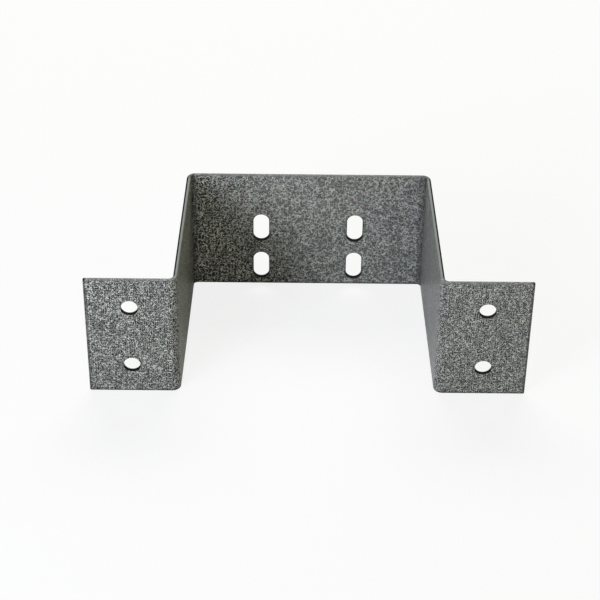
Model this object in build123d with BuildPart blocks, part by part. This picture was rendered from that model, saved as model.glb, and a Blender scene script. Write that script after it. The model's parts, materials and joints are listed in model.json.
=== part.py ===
"""Hat bracket: one strip of steel sheet, punched and folded four times.

Two flanges bolt to a flat surface, two legs run back from them, and a centre plate joins the legs.
X runs along the bracket, Y runs back from the flanges' mounting faces, and Z runs across the strip.
The origin is the centre of the four flange holes, on the flanges' mounting faces.
All sizes are in millimetres.
"""

from build123d import *
import os

# Sheet and strip
sheet_thickness = 2.0
strip_width = 64.5
inner_bend_radius = 2.0

# Folded profile, measured to the corners of the faces that line the channel
channel_width = 111.0
channel_depth = 81.0
leg_flare = 2.8
flange_reach = 41.7

# Round holes, two in a column on each flange
flange_hole_diameter = 7.6
flange_hole_spacing = 33.0
flange_hole_inset = 20.0

# Upright slots, two columns of two, set low on the centre plate
slot_width = 7.5
slot_length = 15.2
slot_column_spacing = 45.0
slot_row_spacing = 22.5
slot_edge_distance = 11.5

# Broken corners: the cut edges are rounded and the rims of the openings are bevelled,
# and neither takes more than a share of the sheet's thickness.
cut_edge_radius = 0.7
rim_bevel = 0.3
largest_break_share = 0.4

# Worked out from the sizes above
outer_bend_radius = inner_bend_radius + sheet_thickness
plate_half = channel_width / 2
foot_half = plate_half + leg_flare
bracket_half = foot_half + flange_reach
flange_column_spacing = 2 * (bracket_half - flange_hole_inset)
slot_centre_height = slot_edge_distance + slot_row_spacing / 2 - strip_width / 2
largest_break = largest_break_share * sheet_thickness
cut_edge_break = min(cut_edge_radius, largest_break)
rim_break = min(rim_bevel, largest_break)

# The flanges' mounting faces look along -Y, and so does the centre plate's channel face.
flange_face = Plane.XZ
plate_face = Plane.XZ.offset(-channel_depth)

with BuildPart() as bracket:
    # The line follows the channel faces from one flange's end to the other's,
    # and the sheet lies on the line's far side.
    with BuildSketch(Plane.XY):
        with BuildLine():
            FilletPolyline(
                (-bracket_half, 0),
                (-foot_half, 0),
                (-plate_half, channel_depth),
                (plate_half, channel_depth),
                (foot_half, 0),
                (bracket_half, 0),
                radius=[outer_bend_radius, inner_bend_radius, inner_bend_radius, outer_bend_radius],
            )
            offset(amount=sheet_thickness, side=Side.LEFT)
        make_face()
    extrude(amount=strip_width / 2, both=True)

    # The two long cut edges and the two ends are sheared, and their corners are rounded.
    long_cuts = bracket.faces().filter_by(Axis.Z)
    end_cuts = bracket.faces().group_by(Axis.X)[0] + bracket.faces().group_by(Axis.X)[-1]
    end_corners = end_cuts.edges().filter_by(Axis.Z)
    fillet(long_cuts.edges() + end_corners, radius=cut_edge_break)

    # Flange holes, punched straight through, with both rims bevelled
    with BuildSketch(flange_face):
        with GridLocations(flange_column_spacing, flange_hole_spacing, 2, 2):
            Circle(flange_hole_diameter / 2)
    extrude(amount=-sheet_thickness, mode=Mode.SUBTRACT)
    hole_rims = bracket.edges(Select.LAST).filter_by(Axis.Y, reverse=True)
    chamfer(hole_rims, length=rim_break)

    # Centre plate slots, punched and bevelled in the same way
    with BuildSketch(plate_face):
        with Locations((0, slot_centre_height)):
            with GridLocations(slot_column_spacing, slot_row_spacing, 2, 2):
                SlotOverall(slot_length, slot_width, rotation=90)
    extrude(amount=-sheet_thickness, mode=Mode.SUBTRACT)
    slot_rims = bracket.edges(Select.LAST).filter_by(Axis.Y, reverse=True)
    chamfer(slot_rims, length=rim_break)

bracket.part.label = "bracket"

os.makedirs("parts", exist_ok=True)
export_step(bracket.part, "parts/bracket.step")
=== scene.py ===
"""Looks for the folded hat bracket: its vein powder coat, the pale studio round it and the camera.

Everything is in metres, in the bracket's own frame: X along it, Y back from the flanges'
mounting faces, Z up across the strip, and the origin at the centre of the four flange holes.
"""

import json
import logging
import math
from dataclasses import dataclass, field
from enum import Enum
from typing import Any

import bpy
from mathutils import Matrix, Vector

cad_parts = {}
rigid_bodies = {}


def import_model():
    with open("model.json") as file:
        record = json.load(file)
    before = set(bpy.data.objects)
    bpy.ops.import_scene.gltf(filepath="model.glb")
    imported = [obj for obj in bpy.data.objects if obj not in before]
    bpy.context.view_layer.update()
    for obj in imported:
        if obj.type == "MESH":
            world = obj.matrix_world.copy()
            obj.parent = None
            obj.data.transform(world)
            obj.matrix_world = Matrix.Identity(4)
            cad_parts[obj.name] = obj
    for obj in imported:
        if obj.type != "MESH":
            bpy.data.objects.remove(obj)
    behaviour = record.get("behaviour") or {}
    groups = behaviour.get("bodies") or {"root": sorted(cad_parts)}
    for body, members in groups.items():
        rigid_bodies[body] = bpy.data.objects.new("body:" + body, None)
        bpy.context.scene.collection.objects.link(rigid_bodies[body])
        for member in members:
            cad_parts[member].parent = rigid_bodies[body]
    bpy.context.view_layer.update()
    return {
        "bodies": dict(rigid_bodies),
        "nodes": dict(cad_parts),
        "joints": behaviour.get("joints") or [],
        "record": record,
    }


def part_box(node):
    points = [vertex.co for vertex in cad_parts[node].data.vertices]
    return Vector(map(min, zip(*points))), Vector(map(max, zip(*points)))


LOG = logging.getLogger("bracket")
MM = 0.001

Tree = bpy.types.NodeTree
Socket = bpy.types.NodeSocket
Span = tuple[float, float]

BLACK = (0.0, 0.0, 0.0, 1.0)
WHITE = (1.0, 1.0, 1.0, 1.0)

# The sRGB curve is straight up to its foot, and above it a shifted power.
SRGB_FOOT = 0.04045
SRGB_SLOPE = 12.92
SRGB_SHIFT = 0.055
SRGB_POWER = 2.4
FULL_CHANNEL = 255


def linear(colour: str) -> tuple[float, float, float, float]:
    """Turns an sRGB hex colour into linear values for a shader.

    Args:
        colour: Six hex digits after a hash sign, such as "#7a7d7c".

    Returns:
        Linear red, green and blue, and an alpha of 1.
    """
    channels = []
    for start in (1, 3, 5):
        value = int(colour[start:start + 2], 16) / FULL_CHANNEL
        low = value / SRGB_SLOPE
        high = ((value + SRGB_SHIFT) / (1 + SRGB_SHIFT)) ** SRGB_POWER
        channels.append(low if value <= SRGB_FOOT else high)
    return (*channels, 1.0)


def add_node(tree: Tree, kind: str, inputs: dict[Any, Any] | None = None, **settings: Any) -> bpy.types.Node:
    """Adds one node with its settings, input values and links.

    Args:
        tree: The node tree that takes the node.
        kind: The node's type name, such as "ShaderNodeMath".
        inputs: Socket name or number to a plain value, or to the output socket that feeds it.
        **settings: Properties of the node itself.

    Returns:
        The new node.
    """
    node = tree.nodes.new(kind)
    for name, value in settings.items():
        setattr(node, name, value)
    for socket, value in (inputs or {}).items():
        if isinstance(value, Socket):
            tree.links.new(value, node.inputs[socket])
        else:
            node.inputs[socket].default_value = value
    return node


def empty_material(name: str) -> tuple[bpy.types.Material, Tree]:
    """Makes a material with a cleared node tree.

    Args:
        name: The material's name.

    Returns:
        The material and its node tree.
    """
    material = bpy.data.materials.new(name)
    material.use_nodes = True
    material.node_tree.nodes.clear()
    return material, material.node_tree


def seen_directly(tree: Tree) -> Socket:
    """Tells the light paths that show a surround from those that carry its light.

    Args:
        tree: The node tree that asks.

    Returns:
        1 for what the camera sees straight, mirrored or through glass, and 0 otherwise.
    """
    ray = add_node(tree, "ShaderNodeLightPath")
    straight = add_node(
        tree,
        "ShaderNodeMath",
        {0: ray.outputs["Is Camera Ray"], 1: ray.outputs["Is Glossy Ray"]},
        operation="MAXIMUM",
    )
    either = add_node(
        tree,
        "ShaderNodeMath",
        {0: straight.outputs[0], 1: ray.outputs["Is Transmission Ray"]},
        operation="MAXIMUM",
    )
    return either.outputs[0]


def direction(azimuth: float, elevation: float) -> Vector:
    """Works out the direction from the bracket to what stands round it.

    Args:
        azimuth: Degrees to the right of the bracket's open front.
        elevation: Degrees up from level.

    Returns:
        The direction, one unit long.
    """
    az, el = math.radians(azimuth), math.radians(elevation)
    return Vector((math.sin(az) * math.cos(el), -math.cos(az) * math.cos(el), math.sin(el)))


class Side(Enum):
    """A side of the bracket, seen from its open front, with the sign of X there."""

    LEFT = -1
    RIGHT = 1


@dataclass(frozen=True)
class OpeningRows:
    """Two columns of two round-ended openings, mirrored in X and evenly set about one height.

    An opening is a slot whose two ends are centred `straight` above and below its own middle, or a
    round hole where that is 0. Its dark wall is full until `rim_start` of the rim's width past its
    radius, and gone at the whole width.
    """

    column: float
    middle: float
    row: float
    straight: float
    radius: float
    rim: float
    rim_start: float = 0.25

    def wall_mask(self, tree: Tree, place: Socket) -> Socket:
        """Marks the walls of these openings.

        Args:
            tree: The node tree that takes the mask.
            place: The point's place on the bracket.

        Returns:
            1 on the walls, and 0 from the rim outwards.
        """
        split = add_node(tree, "ShaderNodeSeparateXYZ", {0: place})
        side = add_node(tree, "ShaderNodeMath", {0: split.outputs["X"]}, operation="ABSOLUTE")
        across = add_node(tree, "ShaderNodeMath", {0: side.outputs[0], 1: self.column}, operation="SUBTRACT")
        level = add_node(
            tree, "ShaderNodeMath", {0: split.outputs["Z"], 1: self.middle}, operation="SUBTRACT"
        )
        height = add_node(tree, "ShaderNodeMath", {0: level.outputs[0]}, operation="ABSOLUTE")
        off_row = add_node(tree, "ShaderNodeMath", {0: height.outputs[0], 1: self.row}, operation="SUBTRACT")
        reach = add_node(tree, "ShaderNodeMath", {0: off_row.outputs[0]}, operation="ABSOLUTE")
        past = add_node(
            tree, "ShaderNodeMath", {0: reach.outputs[0], 1: self.straight}, operation="SUBTRACT"
        )
        round_end = add_node(tree, "ShaderNodeMath", {0: past.outputs[0], 1: 0.0}, operation="MAXIMUM")
        offset = add_node(
            tree, "ShaderNodeCombineXYZ", {"X": across.outputs[0], "Z": round_end.outputs[0]}
        )
        away = add_node(tree, "ShaderNodeVectorMath", {0: offset.outputs[0]}, operation="LENGTH")
        mask = add_node(
            tree,
            "ShaderNodeMapRange",
            {
                "Value": away.outputs["Value"],
                "From Min": self.radius + self.rim_start * self.rim,
                "From Max": self.radius + self.rim,
                "To Min": 1.0,
                "To Max": 0.0,
            },
            interpolation_type="SMOOTHSTEP",
        )
        return mask.outputs["Result"]


@dataclass(frozen=True)
class FoldedSheet:
    """Where the folded sheet's walls, cut edges and folds lie, so that the coat can follow them.

    A span holds where a fade begins and where it ends. Spans named for a turn are shares of the
    surface's direction, and all others are places on the bracket.
    """

    # Round holes in the flanges and upright slots in the centre plate
    flange_holes: OpeningRows = OpeningRows(
        column=80.0 * MM, middle=0.0, row=16.5 * MM, straight=0.0, radius=3.8 * MM, rim=0.4 * MM
    )
    plate_slots: OpeningRows = OpeningRows(
        column=22.5 * MM,
        middle=-9.5 * MM,
        row=11.25 * MM,
        straight=3.85 * MM,
        radius=3.75 * MM,
        rim=0.75 * MM,
    )

    # Concave folds at the back of the channel
    fold_x: float = 54.6 * MM
    fold_y: float = 80.2 * MM
    fold_reach: float = 3.2 * MM

    # Legs, which lean in towards the centre plate from leg_foot at the flanges
    leg_foot: float = 58.3 * MM
    leg_lean: float = 0.0346
    thickness: float = 2.0 * MM
    leg_start: Span = (2.5 * MM, 6.0 * MM)
    leg_end: Span = (79.0 * MM, 81.0 * MM)
    warm_leg: Side = Side.LEFT
    inside_turn: Span = (0.2, 0.6)

    # Cut edges and the corners along them
    cut_turn: Span = (0.1, 0.4)
    corner_turn: Span = (0.05, 0.25)
    end_corner: float = 98.9 * MM
    end_fade: float = 0.2 * MM
    lower_rim: float = -31.1 * MM
    rim_fade: float = 0.4 * MM

    # Painted highlight along the inside of one flange's end
    highlight_side: Side = Side.LEFT
    highlight_x: float = 98.1 * MM
    highlight_half: float = 0.9 * MM
    highlight_core: float = 0.3
    highlight_run: Span = (-20.0 * MM, -4.0 * MM)

    # Depth in the channel, the side that takes painted shade, and the slant of the edge of the left leg's
    # shadow on the channel
    deep_span: Span = (12.0 * MM, 70.0 * MM)
    shaded_side: Side = Side.RIGHT
    shaded_span: Span = (-25.0 * MM, 50.0 * MM)
    leg_shadow_span: Span = (-45.0 * MM, 5.0 * MM)
    shadow_slant: float = 0.6

    def opening_walls(self, tree: Tree, place: Socket) -> Socket:
        """Marks the walls of the holes and the slots.

        Args:
            tree: The node tree that takes the mask.
            place: The point's place on the bracket.

        Returns:
            1 on a wall, and 0 elsewhere.
        """
        holes = self.flange_holes.wall_mask(tree, place)
        slots = self.plate_slots.wall_mask(tree, place)
        return add_node(tree, "ShaderNodeMath", {0: holes, 1: slots}, operation="MAXIMUM").outputs[0]

    def cut_edges(self, tree: Tree, facing: Socket) -> Socket:
        """Marks the strip's two long cut edges, which face up and down.

        Args:
            tree: The node tree that takes the mask.
            facing: The direction that the surface faces.

        Returns:
            1 on a cut edge, fading to 0 over its rounded corners.
        """
        start, full = self.cut_turn
        split = add_node(tree, "ShaderNodeSeparateXYZ", {0: facing})
        upright = add_node(tree, "ShaderNodeMath", {0: split.outputs["Z"]}, operation="ABSOLUTE")
        mask = add_node(
            tree,
            "ShaderNodeMapRange",
            {"Value": upright.outputs[0], "From Min": start, "From Max": full},
            interpolation_type="SMOOTHSTEP",
        )
        return mask.outputs["Result"]

    def end_corners(self, tree: Tree, place: Socket) -> Socket:
        """Marks the rounded corners at the flanges' outer ends.

        Args:
            tree: The node tree that takes the mask.
            place: The point's place on the bracket.

        Returns:
            1 on the ends, and 0 on the flat of the flange.
        """
        split = add_node(tree, "ShaderNodeSeparateXYZ", {0: place})
        side = add_node(tree, "ShaderNodeMath", {0: split.outputs["X"]}, operation="ABSOLUTE")
        mask = add_node(
            tree,
            "ShaderNodeMapRange",
            {
                "Value": side.outputs[0],
                "From Min": self.end_corner - self.end_fade,
                "From Max": self.end_corner + self.end_fade,
            },
            interpolation_type="SMOOTHSTEP",
        )
        return mask.outputs["Result"]

    def lower_edge(self, tree: Tree, place: Socket) -> Socket:
        """Marks the narrow band along the strip's lower edge, where it turns down and shade is painted.

        Args:
            tree: The node tree that takes the mask.
            place: The point's place on the bracket.

        Returns:
            1 along the lower edge, and 0 above it.
        """
        split = add_node(tree, "ShaderNodeSeparateXYZ", {0: place})
        mask = add_node(
            tree,
            "ShaderNodeMapRange",
            {
                "Value": split.outputs["Z"],
                "From Min": self.lower_rim - self.rim_fade,
                "From Max": self.lower_rim + self.rim_fade,
                "To Min": 1.0,
                "To Max": 0.0,
            },
            interpolation_type="SMOOTHSTEP",
        )
        return mask.outputs["Result"]

    def shaded_corners(self, tree: Tree, place: Socket, facing: Socket) -> Socket:
        """Marks the corners that face out to the sides or down, where shade is painted.

        Args:
            tree: The node tree that takes the mask.
            place: The point's place on the bracket.
            facing: The direction that the surface faces.

        Returns:
            1 where the surface faces outwards or down, and 0 where it faces inwards or up.
        """
        start, full = self.corner_turn
        where = add_node(tree, "ShaderNodeSeparateXYZ", {0: place})
        split = add_node(tree, "ShaderNodeSeparateXYZ", {0: facing})
        side = add_node(tree, "ShaderNodeMath", {0: where.outputs["X"]}, operation="SIGN")
        outwards = add_node(
            tree, "ShaderNodeMath", {0: side.outputs[0], 1: split.outputs["X"]}, operation="MULTIPLY"
        )
        down = add_node(tree, "ShaderNodeMath", {0: split.outputs["Z"], 1: -1.0}, operation="MULTIPLY")
        either = add_node(
            tree, "ShaderNodeMath", {0: outwards.outputs[0], 1: down.outputs[0]}, operation="MAXIMUM"
        )
        mask = add_node(
            tree,
            "ShaderNodeMapRange",
            {"Value": either.outputs[0], "From Min": start, "From Max": full},
            interpolation_type="SMOOTHSTEP",
        )
        return mask.outputs["Result"]

    def legs(self, tree: Tree, place: Socket) -> Socket:
        """Marks the two legs.

        Args:
            tree: The node tree that takes the mask.
            place: The point's place on the bracket.

        Returns:
            1 between the flanges and the centre plate, and 0 on both.
        """
        split = add_node(tree, "ShaderNodeSeparateXYZ", {0: place})
        past_flange = add_node(
            tree,
            "ShaderNodeMapRange",
            {"Value": split.outputs["Y"], "From Min": self.leg_start[0], "From Max": self.leg_start[1]},
            interpolation_type="SMOOTHSTEP",
        )
        before_plate = add_node(
            tree,
            "ShaderNodeMapRange",
            {
                "Value": split.outputs["Y"],
                "From Min": self.leg_end[0],
                "From Max": self.leg_end[1],
                "To Min": 1.0,
                "To Max": 0.0,
            },
            interpolation_type="SMOOTHSTEP",
        )
        both = add_node(
            tree,
            "ShaderNodeMath",
            {0: past_flange.outputs["Result"], 1: before_plate.outputs["Result"]},
            operation="MULTIPLY",
        )
        return both.outputs[0]

    def warm_leg_inside(self, tree: Tree, place: Socket, facing: Socket) -> Socket:
        """Marks the inner face of the leg that takes a painted tint of warm light.

        Args:
            tree: The node tree that takes the mask.
            place: The point's place on the bracket.
            facing: The direction that the surface faces.

        Returns:
            1 on that leg where it looks into the channel, and 0 elsewhere.
        """
        side = self.warm_leg.value
        start, full = self.inside_turn
        where = add_node(tree, "ShaderNodeSeparateXYZ", {0: place})
        split = add_node(tree, "ShaderNodeSeparateXYZ", {0: facing})
        outwards = add_node(
            tree, "ShaderNodeMath", {0: where.outputs["X"], 1: side}, operation="MULTIPLY"
        )
        on_side = add_node(
            tree, "ShaderNodeMath", {0: outwards.outputs[0], 1: 0.0}, operation="GREATER_THAN"
        )
        inwards = add_node(
            tree,
            "ShaderNodeMapRange",
            {"Value": split.outputs["X"], "From Min": -side * start, "From Max": -side * full},
            interpolation_type="SMOOTHSTEP",
        )
        inside = add_node(
            tree,
            "ShaderNodeMath",
            {0: on_side.outputs[0], 1: inwards.outputs["Result"]},
            operation="MULTIPLY",
        )
        both = add_node(
            tree, "ShaderNodeMath", {0: self.legs(tree, place), 1: inside.outputs[0]}, operation="MULTIPLY"
        )
        return both.outputs[0]

    def across_leg(self, tree: Tree, place: Socket) -> Socket:
        """Measures across the thickness of a leg.

        Args:
            tree: The node tree that takes the value.
            place: The point's place on the bracket.

        Returns:
            0 at the leg's inner face, rising to 1 at its outer face.
        """
        split = add_node(tree, "ShaderNodeSeparateXYZ", {0: place})
        side = add_node(tree, "ShaderNodeMath", {0: split.outputs["X"]}, operation="ABSOLUTE")
        upright = add_node(
            tree,
            "ShaderNodeMath",
            {0: split.outputs["Y"], 1: self.leg_lean, 2: side.outputs[0]},
            operation="MULTIPLY_ADD",
        )
        share = add_node(
            tree,
            "ShaderNodeMapRange",
            {
                "Value": upright.outputs[0],
                "From Min": self.leg_foot,
                "From Max": self.leg_foot + self.thickness,
            },
        )
        return share.outputs["Result"]

    def painted_end_highlight(self, tree: Tree, place: Socket) -> Socket:
        """Marks the line inside one flange's end where a highlight is painted.

        Args:
            tree: The node tree that takes the mask.
            place: The point's place on the bracket.

        Returns:
            1 along the bead, and 0 beside it.
        """
        start, full = self.highlight_run
        line = self.highlight_side.value * self.highlight_x
        split = add_node(tree, "ShaderNodeSeparateXYZ", {0: place})
        off_line = add_node(tree, "ShaderNodeMath", {0: split.outputs["X"], 1: line}, operation="SUBTRACT")
        away = add_node(tree, "ShaderNodeMath", {0: off_line.outputs[0]}, operation="ABSOLUTE")
        end_highlight = add_node(
            tree,
            "ShaderNodeMapRange",
            {
                "Value": away.outputs[0],
                "From Min": self.highlight_core * self.highlight_half,
                "From Max": self.highlight_half,
                "To Min": 1.0,
                "To Max": 0.0,
            },
            interpolation_type="SMOOTHSTEP",
        )
        # The painted highlight fades out towards the flange's lower end.
        run = add_node(
            tree,
            "ShaderNodeMapRange",
            {"Value": split.outputs["Z"], "From Min": start, "From Max": full},
            interpolation_type="SMOOTHSTEP",
        )
        both = add_node(
            tree,
            "ShaderNodeMath",
            {0: end_highlight.outputs["Result"], 1: run.outputs["Result"]},
            operation="MULTIPLY",
        )
        return both.outputs[0]

    def inner_folds(self, tree: Tree, place: Socket) -> Socket:
        """Marks the two concave folds at the back of the channel.

        Args:
            tree: The node tree that takes the mask.
            place: The point's place on the bracket.

        Returns:
            1 in the fold, and 0 a few millimetres away.
        """
        fold = (self.fold_x, self.fold_y, 0.0)
        split = add_node(tree, "ShaderNodeSeparateXYZ", {0: place})
        side = add_node(tree, "ShaderNodeMath", {0: split.outputs["X"]}, operation="ABSOLUTE")
        offset = add_node(tree, "ShaderNodeCombineXYZ", {"X": side.outputs[0], "Y": split.outputs["Y"]})
        away = add_node(
            tree, "ShaderNodeVectorMath", {0: offset.outputs[0], 1: fold}, operation="DISTANCE"
        )
        mask = add_node(
            tree,
            "ShaderNodeMapRange",
            {"Value": away.outputs["Value"], "From Max": self.fold_reach, "To Min": 1.0, "To Max": 0.0},
            interpolation_type="SMOOTHSTEP",
        )
        return mask.outputs["Result"]

    def depth(self, tree: Tree, place: Socket) -> Socket:
        """Says how deep a point lies in the channel.

        Args:
            tree: The node tree that takes the value.
            place: The point's place on the bracket.

        Returns:
            0 at the flanges, rising to 1 near the centre plate.
        """
        start, full = self.deep_span
        split = add_node(tree, "ShaderNodeSeparateXYZ", {0: place})
        ramp = add_node(
            tree,
            "ShaderNodeMapRange",
            {"Value": split.outputs["Y"], "From Min": start, "From Max": full},
            interpolation_type="SMOOTHSTEP",
        )
        return ramp.outputs["Result"]

    def towards_shaded_side(self, tree: Tree, place: Socket) -> Socket:
        """Says how far towards the side of the bracket that takes painted shade a point lies.

        Args:
            tree: The node tree that takes the value.
            place: The point's place on the bracket.

        Returns:
            0 short of the middle, rising to 1 at that side of the channel and past it.
        """
        side = self.shaded_side.value
        start, full = self.shaded_span
        split = add_node(tree, "ShaderNodeSeparateXYZ", {0: place})
        ramp = add_node(
            tree,
            "ShaderNodeMapRange",
            {"Value": split.outputs["X"], "From Min": side * start, "From Max": side * full},
        )
        return ramp.outputs["Result"]

    def out_of_leg_shadow(self, tree: Tree, place: Socket) -> Socket:
        """Says how far a point of the channel lies out of the left leg's shadow, in which the veins carry
        painted glints.

        Args:
            tree: The node tree that takes the value.
            place: The point's place on the bracket.

        Returns:
            0 at the channel's lower left, rising to 1 from its middle to its right side.
        """
        start, full = self.leg_shadow_span
        split = add_node(tree, "ShaderNodeSeparateXYZ", {0: place})
        slant = add_node(
            tree,
            "ShaderNodeMath",
            {0: split.outputs["Z"], 1: self.shadow_slant, 2: split.outputs["X"]},
            operation="MULTIPLY_ADD",
        )
        ramp = add_node(
            tree,
            "ShaderNodeMapRange",
            {"Value": slant.outputs[0], "From Min": start, "From Max": full},
            interpolation_type="SMOOTHSTEP",
        )
        return ramp.outputs["Result"]


@dataclass(frozen=True)
class VeinPowderCoat:
    """Polyester powder coat with a silver vein texture, sprayed dry on steel and baked.

    The eye sees a dark ground broken by a fine tangle of paler, slightly raised silver veins.
    Deep in the channel broader veins run among the fine ones. In the left leg's shadow at the lower
    left they stand out strongly as painted glints, and elsewhere they are soft. On the cut edges the
    melt draws smooth, the legs' cut edges carry a painted highlight and painted shade, the legs, folds
    and lower edge take painted shade, and the openings' walls are dark.
    """

    # Silver veins on a dark ground
    ground: str = "#202020"
    vein: str = "#e6e7e0"
    # The photograph has about 0.44 mm to a pixel, so it hides veins finer than this. The real ones
    # may be finer, and these are drawn as coarse as they need to show.
    fine_spacing: float = 0.5 * MM
    shadow_spacing: float = 0.78 * MM
    broad_spacing: float = 0.95 * MM
    veins_per_cell: float = 2.0
    vein_detail: float = 1.0
    vein_breakup: float = 0.6
    contour: float = 0.5
    half_vein: float = 0.07
    relief: float = 0.08 * MM

    # Share of broader veins deep in the channel, in the left leg's shadow and out of it
    shadow_share: float = 0.88
    broad_share: float = 0.6

    # Contrast of the veins, on the flanges away from the shaded side and at it, then in the channel: raised
    # in the left leg's shadow as painted glints, and soft out of it
    open_contrast: float = 1.18
    shaded_side_contrast: float = 0.94
    glint_contrast: float = 1.45
    deep_contrast: float = 0.85
    contrast_middle: float = 0.5

    # Brightness of the flanges and the plate, with painted shade deep in the channel, and the painted shade
    # towards one side
    flange_tone: float = 1.1
    plate_tone: float = 1.03
    painted_side_shade: float = 0.08

    # Soft clouds in the brightness, and faint patches of tint
    cloud_width: float = 5.0 * MM
    cloud_detail: float = 2.0
    cloud_levels: Span = (0.3, 0.7)
    cloud_contrast: float = 0.12
    tint_width: float = 2.5 * MM
    tint_detail: float = 3.0
    tint_breakup: float = 0.7
    tint: float = 0.34

    # Painted shade on the legs and in the folds, a painted tint of warm light on one leg, and dark opening
    # walls
    leg_shade: float = 0.16
    leg_warm_light: float = 0.15
    fold_shade: float = 0.6
    wall: str = "#242423"

    # Levelled melt on the cut edges of the flanges and the plate
    level_melt: str = "#848684"
    melt: float = 0.65

    # Painted shade at the inner lip, a painted highlight band and painted shade on the outer side of the
    # legs' cut edges, at shares of the thickness
    edge: str = "#989c99"
    painted_edge_shade: str = "#222221"
    inner_lip: float = 0.6
    lip_at: float = 0.05
    pale_band: Span = (0.2, 0.54)
    edge_shade_at: float = 0.68

    # Painted shade along the lower edge and darker corners at the flanges' ends, and the painted highlight
    # along one flange's end
    rim_shade: float = 0.6
    end_highlight: float = 0.4

    # Baked polyester, a smooth resin that is no metal
    ior: float = 1.5
    metallic: float = 0.0
    specular: float = 0.5
    roughness: float = 0.3

    sheet: FoldedSheet = FoldedSheet()

    def material(self) -> bpy.types.Material:
        """Builds the coat's material.

        Returns:
            The material, with its pattern laid in the bracket's own millimetres.
        """
        material, tree = empty_material("vein_powder_coat")
        coordinates = add_node(tree, "ShaderNodeTexCoord")
        place = coordinates.outputs["Object"]
        facing = coordinates.outputs["Normal"]
        veins = self.vein_field(tree, place)
        flats = self.flat_colour(tree, veins, place, facing)
        shader = add_node(
            tree,
            "ShaderNodeBsdfPrincipled",
            {
                "Base Color": self.edge_colour(tree, flats, place, facing),
                "Metallic": self.metallic,
                "Roughness": self.roughness,
                "IOR": self.ior,
                "Specular IOR Level": self.gloss(tree, facing),
                "Normal": self.vein_surface(tree, veins, facing),
            },
        )
        add_node(tree, "ShaderNodeOutputMaterial", {"Surface": shader.outputs["BSDF"]})
        return material

    def contour_lines(self, tree: Tree, place: Socket, spacing: float) -> Socket:
        """Lays veins along the contour lines of a fine noise, which meander as real ones do.

        Args:
            tree: The coat's node tree.
            place: The point's place on the bracket.
            spacing: How far apart the veins lie.

        Returns:
            1 on a vein and 0 on the ground between veins.
        """
        # A contour crosses a cell of the noise about twice, so a cell is two veins wide.
        noise = add_node(
            tree,
            "ShaderNodeTexNoise",
            {
                "Vector": place,
                "Scale": 1 / (self.veins_per_cell * spacing),
                "Detail": self.vein_detail,
                "Roughness": self.vein_breakup,
            },
        )
        line = add_node(tree, "ShaderNodeValToRGB", {"Fac": noise.outputs["Fac"]})
        ramp = line.color_ramp
        ramp.interpolation = "EASE"
        ramp.elements[0].position = self.contour - self.half_vein
        ramp.elements[0].color = BLACK
        ramp.elements[1].position = self.contour
        ramp.elements[1].color = WHITE
        ramp.elements.new(self.contour + self.half_vein).color = BLACK
        return line.outputs["Color"]

    def vein_field(self, tree: Tree, place: Socket) -> Socket:
        """Lays fine veins on the flanges, and broader ones among them deep in the channel.

        Args:
            tree: The coat's node tree.
            place: The point's place on the bracket.

        Returns:
            About 1 on a vein and 0 on the ground between veins, more or less where it contrasts.
        """
        fine = self.contour_lines(tree, place, self.fine_spacing)
        shadowed = self.contour_lines(tree, place, self.shadow_spacing)
        broad = self.contour_lines(tree, place, self.broad_spacing)
        deep = self.sheet.depth(tree, place)
        out_of_shadow = self.sheet.out_of_leg_shadow(tree, place)
        channel = add_node(
            tree, "ShaderNodeMix", {"Factor": out_of_shadow, "A": shadowed, "B": broad}, data_type="FLOAT"
        )
        reach = add_node(
            tree,
            "ShaderNodeMapRange",
            {"Value": out_of_shadow, "To Min": self.shadow_share, "To Max": self.broad_share},
        )
        share = add_node(tree, "ShaderNodeMath", {0: deep, 1: reach.outputs["Result"]}, operation="MULTIPLY")
        both = add_node(
            tree,
            "ShaderNodeMix",
            {"Factor": share.outputs[0], "A": fine, "B": channel.outputs["Result"]},
            data_type="FLOAT",
        )
        # Painted glints: in the left leg's shadow the veins stand out fully, and out of it less.
        inside = add_node(
            tree,
            "ShaderNodeMapRange",
            {"Value": out_of_shadow, "To Min": self.glint_contrast, "To Max": self.deep_contrast},
        )
        outside = add_node(
            tree,
            "ShaderNodeMapRange",
            {
                "Value": self.sheet.towards_shaded_side(tree, place),
                "To Min": self.open_contrast,
                "To Max": self.shaded_side_contrast,
            },
        )
        contrast = add_node(
            tree,
            "ShaderNodeMix",
            {"Factor": deep, "A": outside.outputs["Result"], "B": inside.outputs["Result"]},
            data_type="FLOAT",
        )
        middle = add_node(
            tree,
            "ShaderNodeMath",
            {0: both.outputs["Result"], 1: self.contrast_middle},
            operation="SUBTRACT",
        )
        pulled = add_node(
            tree,
            "ShaderNodeMath",
            {0: middle.outputs[0], 1: contrast.outputs["Result"], 2: self.contrast_middle},
            operation="MULTIPLY_ADD",
        )
        return pulled.outputs[0]

    def flat_colour(self, tree: Tree, veins: Socket, place: Socket, facing: Socket) -> Socket:
        """Mixes the ground and the silver veins, and sets their tint and brightness from place to place.

        Args:
            tree: The coat's node tree.
            veins: The vein field.
            place: The point's place on the bracket.
            facing: The direction that the surface faces.

        Returns:
            The colour of the coat on the flats.
        """
        silver = add_node(
            tree,
            "ShaderNodeMix",
            {"Factor": veins, "A": linear(self.ground), "B": linear(self.vein)},
            data_type="RGBA",
        )
        tinted = self.tinted(tree, silver.outputs["Result"], place, facing)
        strength = self.brightness(tree, place)
        clouded = add_node(tree, "ShaderNodeVectorMath", {0: tinted, "Scale": strength}, operation="SCALE")
        return clouded.outputs[0]

    def tinted(self, tree: Tree, silver: Socket, place: Socket, facing: Socket) -> Socket:
        """Tints the coat in faint patches, and paints a faint yellow tint of warm light on the inside of one
        leg.

        Args:
            tree: The coat's node tree.
            silver: The colour of the ground and the veins.
            place: The point's place on the bracket.
            facing: The direction that the surface faces.

        Returns:
            The tinted colour.
        """
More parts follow.
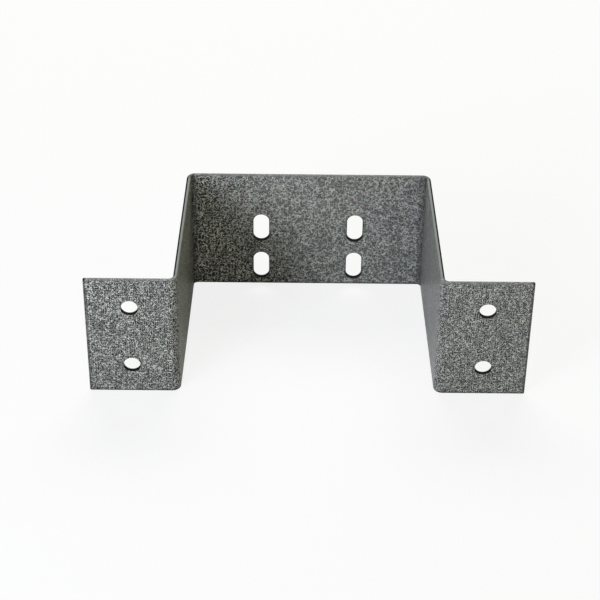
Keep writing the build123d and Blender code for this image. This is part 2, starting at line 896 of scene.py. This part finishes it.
        # The flakes lie at slightly different angles from patch to patch, which tints them. The
        # noise's colours are a half on average, and there the tint changes nothing.
        patch = add_node(
            tree,
            "ShaderNodeTexNoise",
            {
                "Vector": place,
                "Scale": 1 / self.tint_width,
                "Detail": self.tint_detail,
                "Roughness": self.tint_breakup,
            },
        )
        neutral = 1 - self.tint / 2
        tint = add_node(
            tree,
            "ShaderNodeVectorMath",
            {0: patch.outputs["Color"], 1: (self.tint,) * 3, 2: (neutral,) * 3},
            operation="MULTIPLY_ADD",
        )
        patchy = add_node(
            tree, "ShaderNodeVectorMath", {0: silver, 1: tint.outputs[0]}, operation="MULTIPLY"
        )
        # Painted warm light: a faint yellow tint lies on this leg's inner face.
        blue = add_node(
            tree,
            "ShaderNodeMath",
            {0: self.sheet.warm_leg_inside(tree, place, facing), 1: -self.leg_warm_light, 2: 1.0},
            operation="MULTIPLY_ADD",
        )
        warm_light = add_node(tree, "ShaderNodeCombineXYZ", {"X": 1.0, "Y": 1.0, "Z": blue.outputs[0]})
        yellowed = add_node(
            tree, "ShaderNodeVectorMath", {0: patchy.outputs[0], 1: warm_light.outputs[0]}, operation="MULTIPLY"
        )
        return yellowed.outputs[0]

    def brightness(self, tree: Tree, place: Socket) -> Socket:
        """Works out how bright the coat is, from its clouds, its painted highlight and the place on the
        bracket, where shade is painted deep in the channel and towards one side.

        Args:
            tree: The coat's node tree.
            place: The point's place on the bracket.

        Returns:
            A factor for the coat's colour.
        """
        cloud = add_node(
            tree,
            "ShaderNodeTexNoise",
            {"Vector": place, "Scale": 1 / self.cloud_width, "Detail": self.cloud_detail},
        )
        level = add_node(
            tree,
            "ShaderNodeMapRange",
            {
                "Value": cloud.outputs["Fac"],
                "From Min": self.cloud_levels[0],
                "From Max": self.cloud_levels[1],
                "To Min": 1 - self.cloud_contrast,
                "To Max": 1 + self.cloud_contrast,
            },
        )
        highlighted = add_node(
            tree,
            "ShaderNodeMath",
            {0: self.sheet.painted_end_highlight(tree, place), 1: self.end_highlight, 2: level.outputs["Result"]},
            operation="MULTIPLY_ADD",
        )
        # Painted shade: the coat is darker deep in the channel than on the flanges, and darker towards one
        # side.
        tone = add_node(
            tree,
            "ShaderNodeMapRange",
            {
                "Value": self.sheet.depth(tree, place),
                "To Min": self.flange_tone,
                "To Max": self.plate_tone,
            },
        )
        spread = add_node(
            tree,
            "ShaderNodeMath",
            {0: self.sheet.towards_shaded_side(tree, place), 1: -self.painted_side_shade, 2: tone.outputs["Result"]},
            operation="MULTIPLY_ADD",
        )
        strength = add_node(
            tree, "ShaderNodeMath", {0: highlighted.outputs[0], 1: spread.outputs[0]}, operation="MULTIPLY"
        )
        return strength.outputs[0]

    def edge_colour(self, tree: Tree, flats: Socket, place: Socket, facing: Socket) -> Socket:
        """Lays the smooth cut edges with their painted highlight and painted shade, the painted shade on the
        legs, in the folds and along the lower edge, the darker end corners and the dark walls over the
        flats.

        Args:
            tree: The coat's node tree.
            flats: The colour of the coat on the flats.
            place: The point's place on the bracket.
            facing: The direction that the surface faces.

        Returns:
            The coat's colour everywhere.
        """
        along_legs = self.sheet.legs(tree, place)
        on_cut = self.sheet.cut_edges(tree, facing)
        edge = self.cut_edge_colour(tree, flats, along_legs, place)
        # Painted shade on the cut edges' corners that face out to the sides or down
        shaded_corner = add_node(
            tree,
            "ShaderNodeMath",
            {0: on_cut, 1: self.sheet.shaded_corners(tree, place, facing)},
            operation="MULTIPLY",
        )
        drawn = add_node(
            tree,
            "ShaderNodeMix",
            {"Factor": shaded_corner.outputs[0], "A": edge, "B": linear(self.painted_edge_shade)},
            data_type="RGBA",
        )
        edged = add_node(
            tree,
            "ShaderNodeMix",
            {"Factor": on_cut, "A": flats, "B": drawn.outputs["Result"]},
            data_type="RGBA",
        )
        shade = self.darkened_places(tree, along_legs, place)
        folded = add_node(
            tree, "ShaderNodeVectorMath", {0: edged.outputs["Result"], "Scale": shade}, operation="SCALE"
        )
        on_walls = self.sheet.opening_walls(tree, place)
        walled = add_node(
            tree,
            "ShaderNodeMix",
            {"Factor": on_walls, "A": folded.outputs[0], "B": linear(self.wall)},
            data_type="RGBA",
        )
        return walled.outputs["Result"]

    def cut_edge_colour(self, tree: Tree, flats: Socket, along_legs: Socket, place: Socket) -> Socket:
        """Colours the cut edges: on the legs a painted highlight band between painted shade at the inner lip
        and on the outer side, and elsewhere the melt dulls the veins.

        Args:
            tree: The coat's node tree.
            flats: The colour of the coat on the flats.
            along_legs: The mask of the legs.
            place: The point's place on the bracket.

        Returns:
            The colour of the cut edges.
        """
        dulled = add_node(
            tree,
            "ShaderNodeMix",
            {"Factor": self.melt, "A": flats, "B": linear(self.level_melt)},
            data_type="RGBA",
        )
        pale = linear(self.edge)
        # Across a leg's cut edge: painted shade at the inner lip, a painted highlight band, then painted
        # shade on the outer side
        line = add_node(tree, "ShaderNodeValToRGB", {"Fac": self.sheet.across_leg(tree, place)})
        stops = line.color_ramp.elements
        stops[0].position = self.lip_at
        stops[0].color = (*(self.inner_lip * level for level in pale[:3]), 1.0)
        stops[1].position = self.edge_shade_at
        stops[1].color = linear(self.painted_edge_shade)
        for position in self.pale_band:
            stops.new(position).color = pale
        edge = add_node(
            tree,
            "ShaderNodeMix",
            {"Factor": along_legs, "A": dulled.outputs["Result"], "B": line.outputs["Color"]},
            data_type="RGBA",
        )
        return edge.outputs["Result"]

    def darkened_places(self, tree: Tree, along_legs: Socket, place: Socket) -> Socket:
        """Paints shade on the legs, in the folds and along the lower edge, and darkens the flanges' end
        corners.

        Args:
            tree: The coat's node tree.
            along_legs: The mask of the legs.
            place: The point's place on the bracket.

        Returns:
            A factor for the coat's colour, 1 where nothing is darkened.
        """
        # Painted shade on the legs and in the concave folds.
        on_legs = add_node(
            tree, "ShaderNodeMath", {0: along_legs, 1: -self.leg_shade, 2: 1.0}, operation="MULTIPLY_ADD"
        )
        in_folds = add_node(
            tree,
            "ShaderNodeMath",
            {0: self.sheet.inner_folds(tree, place), 1: -self.fold_shade, 2: on_legs.outputs[0]},
            operation="MULTIPLY_ADD",
        )
        # Painted shade along the lower edge, and darker corners at the flanges' ends
        thin = add_node(
            tree,
            "ShaderNodeMath",
            {0: self.sheet.lower_edge(tree, place), 1: self.sheet.end_corners(tree, place)},
            operation="MAXIMUM",
        )
        rim = add_node(
            tree,
            "ShaderNodeMath",
            {0: thin.outputs[0], 1: -self.rim_shade, 2: 1.0},
            operation="MULTIPLY_ADD",
        )
        shade = add_node(
            tree, "ShaderNodeMath", {0: in_folds.outputs[0], 1: rim.outputs[0]}, operation="MULTIPLY"
        )
        return shade.outputs[0]

    def gloss(self, tree: Tree, facing: Socket) -> Socket:
        """Takes the faint sheen of the flats off the cut edges, where the coat is thin.

        Args:
            tree: The coat's node tree.
            facing: The direction that the surface faces.

        Returns:
            How strongly the coat mirrors.
        """
        keep = add_node(
            tree,
            "ShaderNodeMath",
            {0: self.sheet.cut_edges(tree, facing), 1: -self.specular, 2: self.specular},
            operation="MULTIPLY_ADD",
        )
        return keep.outputs[0]

    def vein_surface(self, tree: Tree, veins: Socket, facing: Socket) -> Socket:
        """Raises the veins a little above the ground, except on the smooth cut edges.

        Args:
            tree: The coat's node tree.
            veins: The vein field.
            facing: The direction that the surface faces.

        Returns:
            The surface's direction.
        """
        keep = add_node(
            tree, "ShaderNodeMath", {0: 1.0, 1: self.sheet.cut_edges(tree, facing)}, operation="SUBTRACT"
        )
        bump = add_node(
            tree,
            "ShaderNodeBump",
            {"Height": veins, "Distance": self.relief, "Strength": keep.outputs[0]},
        )
        return bump.outputs["Normal"]


@dataclass
class HatBracket:
    """The one piece of folded sheet, which keeps its own solid and takes the coat."""

    node: str = "bracket"
    coat: VeinPowderCoat = field(default_factory=VeinPowderCoat)

    def dress(self, frame: dict[str, Any]) -> None:
        """Puts the coat on the sheet.
        """
        sheet = frame["nodes"][self.node]
        material = self.coat.material()
        for slot in sheet.material_slots:
            slot.material = material
        LOG.info("%s wears %s", self.node, material.name)


@dataclass
class PhotoCamera:
    """The camera at the photograph's viewing angle, in the bracket's frame, with angles in degrees."""

    aim: tuple[float, float, float] = (-3.9 * MM, 0.0, 22.09 * MM)
    elevation: float = 38.62
    azimuth: float = -0.34
    roll: float = 0.75
    distance: float = 895.94 * MM
    focal_pixels: float = 2018.33
    frame_pixels: float = 600.0
    sensor: float = 36.0

    def place(self) -> None:
        """Makes the camera and makes it the scene's own."""
        back = direction(self.azimuth, self.elevation)
        roll = math.radians(self.roll)
        right = (-back).cross(Vector((0, 0, 1))).normalized()
        up = right.cross(-back)
        turned_right = math.cos(roll) * right + math.sin(roll) * up
        turned_up = -math.sin(roll) * right + math.cos(roll) * up
        axes = Matrix((turned_right, turned_up, back)).transposed().to_4x4()
        data = bpy.data.cameras.new("photo_camera")
        data.sensor_width = self.sensor
        data.lens = self.focal_pixels / self.frame_pixels * self.sensor
        camera = bpy.data.objects.new("photo_camera", data)
        camera.matrix_world = Matrix.Translation(Vector(self.aim) + back * self.distance) @ axes
        bpy.context.scene.collection.objects.link(camera)
        bpy.context.scene.camera = camera
        LOG.info("%s placed", camera.name)


@dataclass(frozen=True)
class Softbox:
    """One soft oblong lamp, aimed at the middle of the bracket, with angles in degrees."""

    name: str
    azimuth: float
    elevation: float
    distance: float
    width: float
    height: float
    watts: float
    colour: str

    def place(self, aim: Vector) -> None:
        """Makes the lamp and turns it to the bracket.

        Args:
            aim: The point that the lamp looks at.
        """
        away = direction(self.azimuth, self.elevation)
        data = bpy.data.lights.new(self.name, "AREA")
        data.shape = "RECTANGLE"
        data.size = self.width
        data.size_y = self.height
        data.energy = self.watts
        data.color = linear(self.colour)[:3]
        lamp = bpy.data.objects.new(self.name, data)
        lamp.location = aim + away * self.distance
        lamp.rotation_euler = away.to_track_quat("Z", "Y").to_euler()
        lamp.visible_camera = False
        bpy.context.scene.collection.objects.link(lamp)
        LOG.info("%s placed", self.name)


@dataclass(frozen=True)
class WhitePaper:
    """Matt white background paper, rolled out under the bracket.

    The eye sees an even near-white sheet that takes a faint soft shadow.
    """

    colour: str = "#e6e6e6"
    glow: float = 0.84
    mirrored_glow: float = 0.1
    bounce: str = "#707070"

    def material(self) -> bpy.types.Material:
        """Builds the paper, near white to the eye and calmer in the light that it sends back.

        Returns:
            The material.
        """
        material, tree = empty_material("white_paper")
        sheet = add_node(tree, "ShaderNodeBsdfDiffuse", {"Color": linear(self.colour)})
        # Seen straight, most of the white is the paper's own, so the shadow on it stays faint.
        ray = add_node(tree, "ShaderNodeLightPath")
        own = add_node(
            tree,
            "ShaderNodeMapRange",
            {"Value": ray.outputs["Is Camera Ray"], "To Min": self.mirrored_glow, "To Max": self.glow},
        ).outputs["Result"]
        glow = add_node(tree, "ShaderNodeEmission", {"Strength": own})
        faint = add_node(tree, "ShaderNodeMixShader", {0: own, 1: sheet.outputs[0]})
        bright = add_node(tree, "ShaderNodeAddShader", {0: faint.outputs[0], 1: glow.outputs[0]})
        plain = add_node(tree, "ShaderNodeBsdfDiffuse", {"Color": linear(self.bounce)})
        both = add_node(
            tree, "ShaderNodeMixShader", {0: seen_directly(tree), 1: plain.outputs[0], 2: bright.outputs[0]}
        )
        add_node(tree, "ShaderNodeOutputMaterial", {"Surface": both.outputs[0]})
        return material


@dataclass
class Studio:
    """A pale floor under the bracket, a white surround and soft lamps."""

    floor_half: float = 8.0
    paper: WhitePaper = field(default_factory=WhitePaper)
    white: str = "#ffffff"
    fill: str = "#fff8dc"
    fill_level: float = 0.02
    lamps: tuple[Softbox, ...] = (
        Softbox(
            "key_lamp", azimuth=-39.7, elevation=24.5, distance=0.85,
            width=0.28, height=0.45, watts=5.2, colour="#dde6fb",
        ),
        Softbox(
            "back_lamp", azimuth=180.0, elevation=50.0, distance=1.15,
            width=1.2, height=0.5, watts=13.5, colour="#fcfdf4",
        ),
        Softbox(
            "front_lamp", azimuth=8.0, elevation=5.0, distance=1.15,
            width=0.6, height=0.4, watts=2.4, colour="#f5f3e0",
        ),
        Softbox(
            "right_lamp", azimuth=58.0, elevation=25.0, distance=1.15,
            width=0.4, height=0.4, watts=1.6, colour="#fdffe3",
        ),
        Softbox(
            "high_left_lamp", azimuth=-55.0, elevation=40.0, distance=1.15,
            width=0.4, height=0.4, watts=1.7, colour="#fff3cc",
        ),
    )

    def build(self, low: Vector, high: Vector) -> None:
        """Makes the floor, the world and the lamps.

        Args:
            low: The bracket's lowest corner.
            high: The bracket's highest corner.
        """
        self.lay_floor(low.z)
        self.light_world()
        middle = (low + high) / 2
        for lamp in self.lamps:
            lamp.place(middle)

    def lay_floor(self, height: float) -> None:
        """Lays the floor.

        Args:
            height: The floor's height.
        """
        half = self.floor_half
        mesh = bpy.data.meshes.new("floor")
        outline = ((-half, -half), (half, -half), (half, half), (-half, half))
        mesh.from_pydata([(x, y, height) for x, y in outline], [], [(0, 1, 2, 3)])
        floor = bpy.data.objects.new("floor", mesh)
        bpy.context.scene.collection.objects.link(floor)
        mesh.materials.append(self.paper.material())
        LOG.info("%s laid", floor.name)

    def light_world(self) -> None:
        """Makes the surround white to the eye and a soft fill to the bracket."""
        world = bpy.data.worlds.new("surround")
        world.use_nodes = True
        tree = world.node_tree
        tree.nodes.clear()
        fill = add_node(
            tree, "ShaderNodeBackground", {"Color": linear(self.fill), "Strength": self.fill_level}
        )
        white = add_node(tree, "ShaderNodeBackground", {"Color": linear(self.white), "Strength": 1.0})
        both = add_node(
            tree, "ShaderNodeMixShader", {0: seen_directly(tree), 1: fill.outputs[0], 2: white.outputs[0]}
        )
        add_node(tree, "ShaderNodeOutputWorld", {"Surface": both.outputs[0]})
        bpy.context.scene.world = world


def main() -> None:
    """Builds the looks in order."""
    logging.basicConfig(level=logging.INFO, format="%(message)s")
    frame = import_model()
    bracket = HatBracket()
    bracket.dress(frame)
    Studio().build(*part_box(bracket.node))
    PhotoCamera().place()
    bpy.context.scene.view_settings.view_transform = "Standard"


if __name__ == "__main__":
    main()
